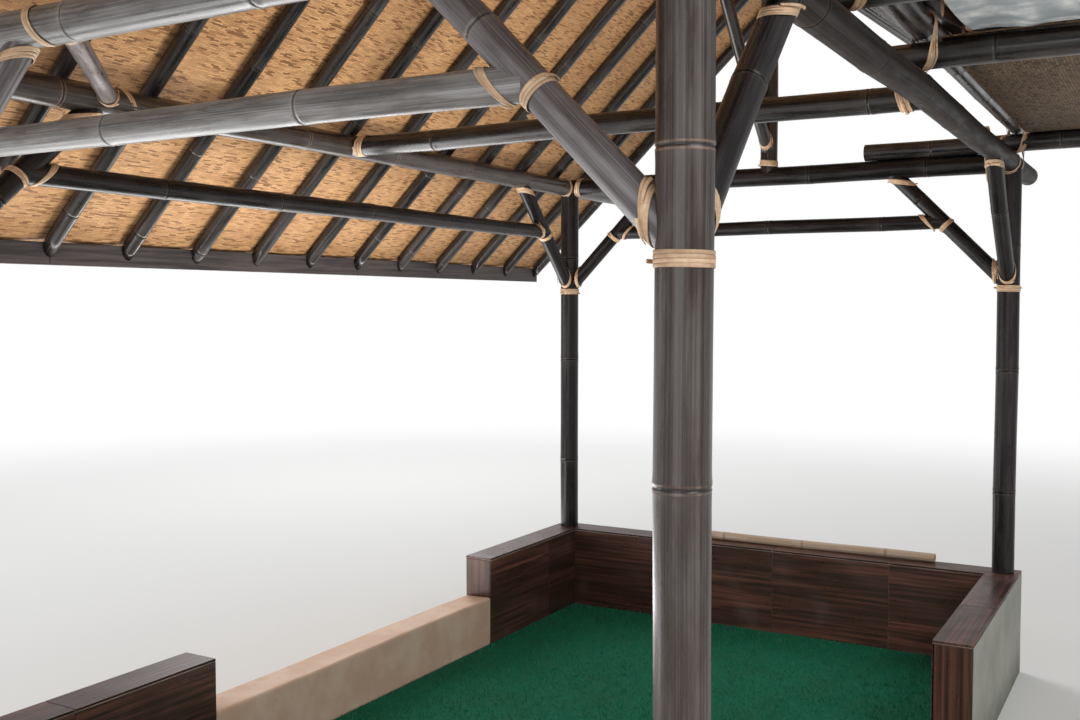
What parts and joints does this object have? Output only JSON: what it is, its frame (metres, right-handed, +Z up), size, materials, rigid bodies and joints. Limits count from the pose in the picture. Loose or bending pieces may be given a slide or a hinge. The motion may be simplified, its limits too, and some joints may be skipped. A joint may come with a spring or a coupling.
{
  "type": "bamboo pavilion",
  "caption": "Open gabled pavilion of lashed bamboo posts, braces and plates on low tiled walls, with a woven mat ceiling and a thatched roof.",
  "frame": {"origin": "on the ground, at the middle of the underside of the object's box", "axes": "+X across the pavilion from the river side to the entrance side, +Y along the ridge to the back gable, +Z up"},
  "size_m": [3.662, 5.55, 3.9716],
  "materials": {
    "dark_bamboo": "glossy dark bamboo",
    "grey_bamboo": "weathered bamboo",
    "pale_bamboo": "sun-bleached bamboo",
    "eave_wood": "dark stained wood",
    "rattan": "satin rattan strip",
    "woven_mat": "matte plaited bamboo",
    "thatch": "dry straw",
    "wall_tile": "satin glaze",
    "cement": "rough cement render",
    "kerb": "matte painted render",
    "turf": "turf pile",
    "sheet": "crumpled film"
  },
  "bodies": {
    "root": {"floor_slab": "cement", "turf_mat": "turf", "end_walls": "cement", "river_walls": "cement", "side_walls": "cement", "river_kerb": "kerb", "end_tiles": "wall_tile", "river_tiles": "wall_tile", "side_tiles": "wall_tile", "post_river_near": "grey_bamboo", "post_side_near": "grey_bamboo", "post_river_far": "grey_bamboo", "post_side_far": "grey_bamboo", "post_bands": "rattan", "near_braces": "dark_bamboo", "back_braces": "dark_bamboo", "river_braces": "dark_bamboo", "side_braces": "dark_bamboo", "near_tie": "dark_bamboo", "back_tie": "dark_bamboo", "river_tie": "dark_bamboo", "river_plate": "dark_bamboo", "side_plate": "dark_bamboo", "near_plate": "dark_bamboo", "back_plate": "dark_bamboo", "mid_tie": "dark_bamboo", "corner_strut": "dark_bamboo", "king_posts": "dark_bamboo", "ridge_beam": "dark_bamboo", "ridge_braces": "dark_bamboo", "river_rafters": "dark_bamboo", "side_rafters": "dark_bamboo", "eave_board": "eave_wood", "river_mat": "woven_mat", "side_mat": "woven_mat", "river_thatch": "thatch", "side_thatch": "thatch", "ridge_cap": "thatch", "gable_outriggers": "dark_bamboo", "side_outriggers": "dark_bamboo", "upper_plate": "dark_bamboo", "side_eave_mat": "woven_mat", "side_eave_sheet": "sheet", "wall_rail": "pale_bamboo"}
  },
  "joints": []
}
